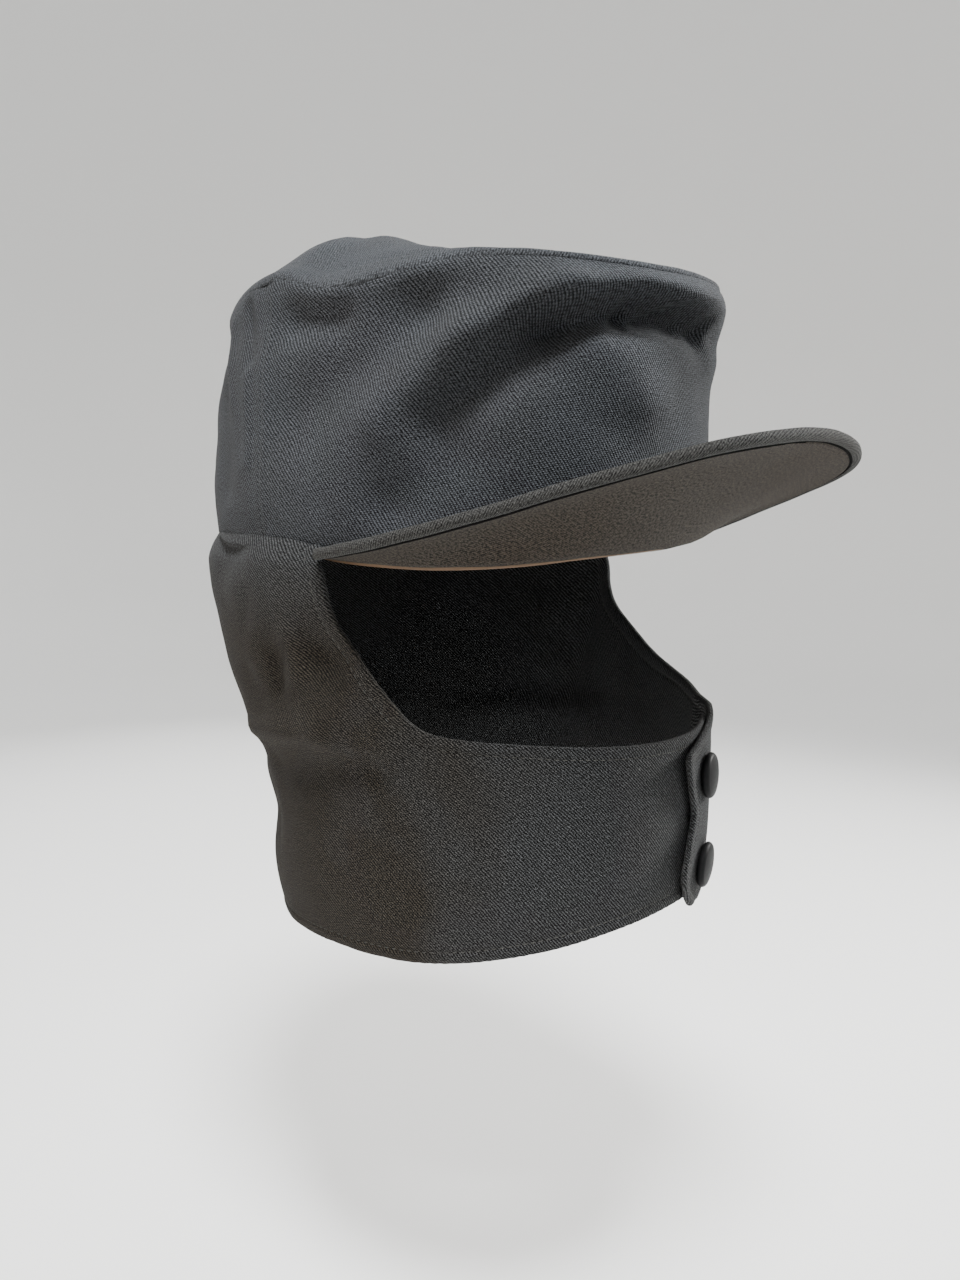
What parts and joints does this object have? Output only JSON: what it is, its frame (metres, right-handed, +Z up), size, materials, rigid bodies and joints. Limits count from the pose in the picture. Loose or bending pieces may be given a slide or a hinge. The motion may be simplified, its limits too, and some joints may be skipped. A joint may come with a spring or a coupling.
{
  "type": "field cap with ear flaps",
  "caption": "Soft twill field cap with a stiff rolled-edge peak and a wrap-round ear and neck flap, let down and buttoned as a band across the chin.",
  "frame": {"origin": "middle of the head opening, level with the seam at the back of the crown, where the wearer's head carries the cap", "axes": "+Z up through the crown, the peak points along -Y, +X is the wearer's left"},
  "size_m": [0.184, 0.2569, 0.2635],
  "materials": {
    "crown_twill": "matte wool twill, dark field grey",
    "flap_twill": "matte wool twill, dark warm grey",
    "peak_twill": "matte wool twill over a stiffener",
    "tan_leather": "satin tan leather",
    "button_plastic": "dark horn-like plastic, worn gloss"
  },
  "bodies": {
    "root": {"crown_front": "crown_twill", "crown_back": "crown_twill", "crown_top": "crown_twill", "sweatband": "tan_leather", "peak": "peak_twill", "ear_flap": "flap_twill", "button_upper": "button_plastic", "button_lower": "button_plastic"}
  },
  "joints": []
}
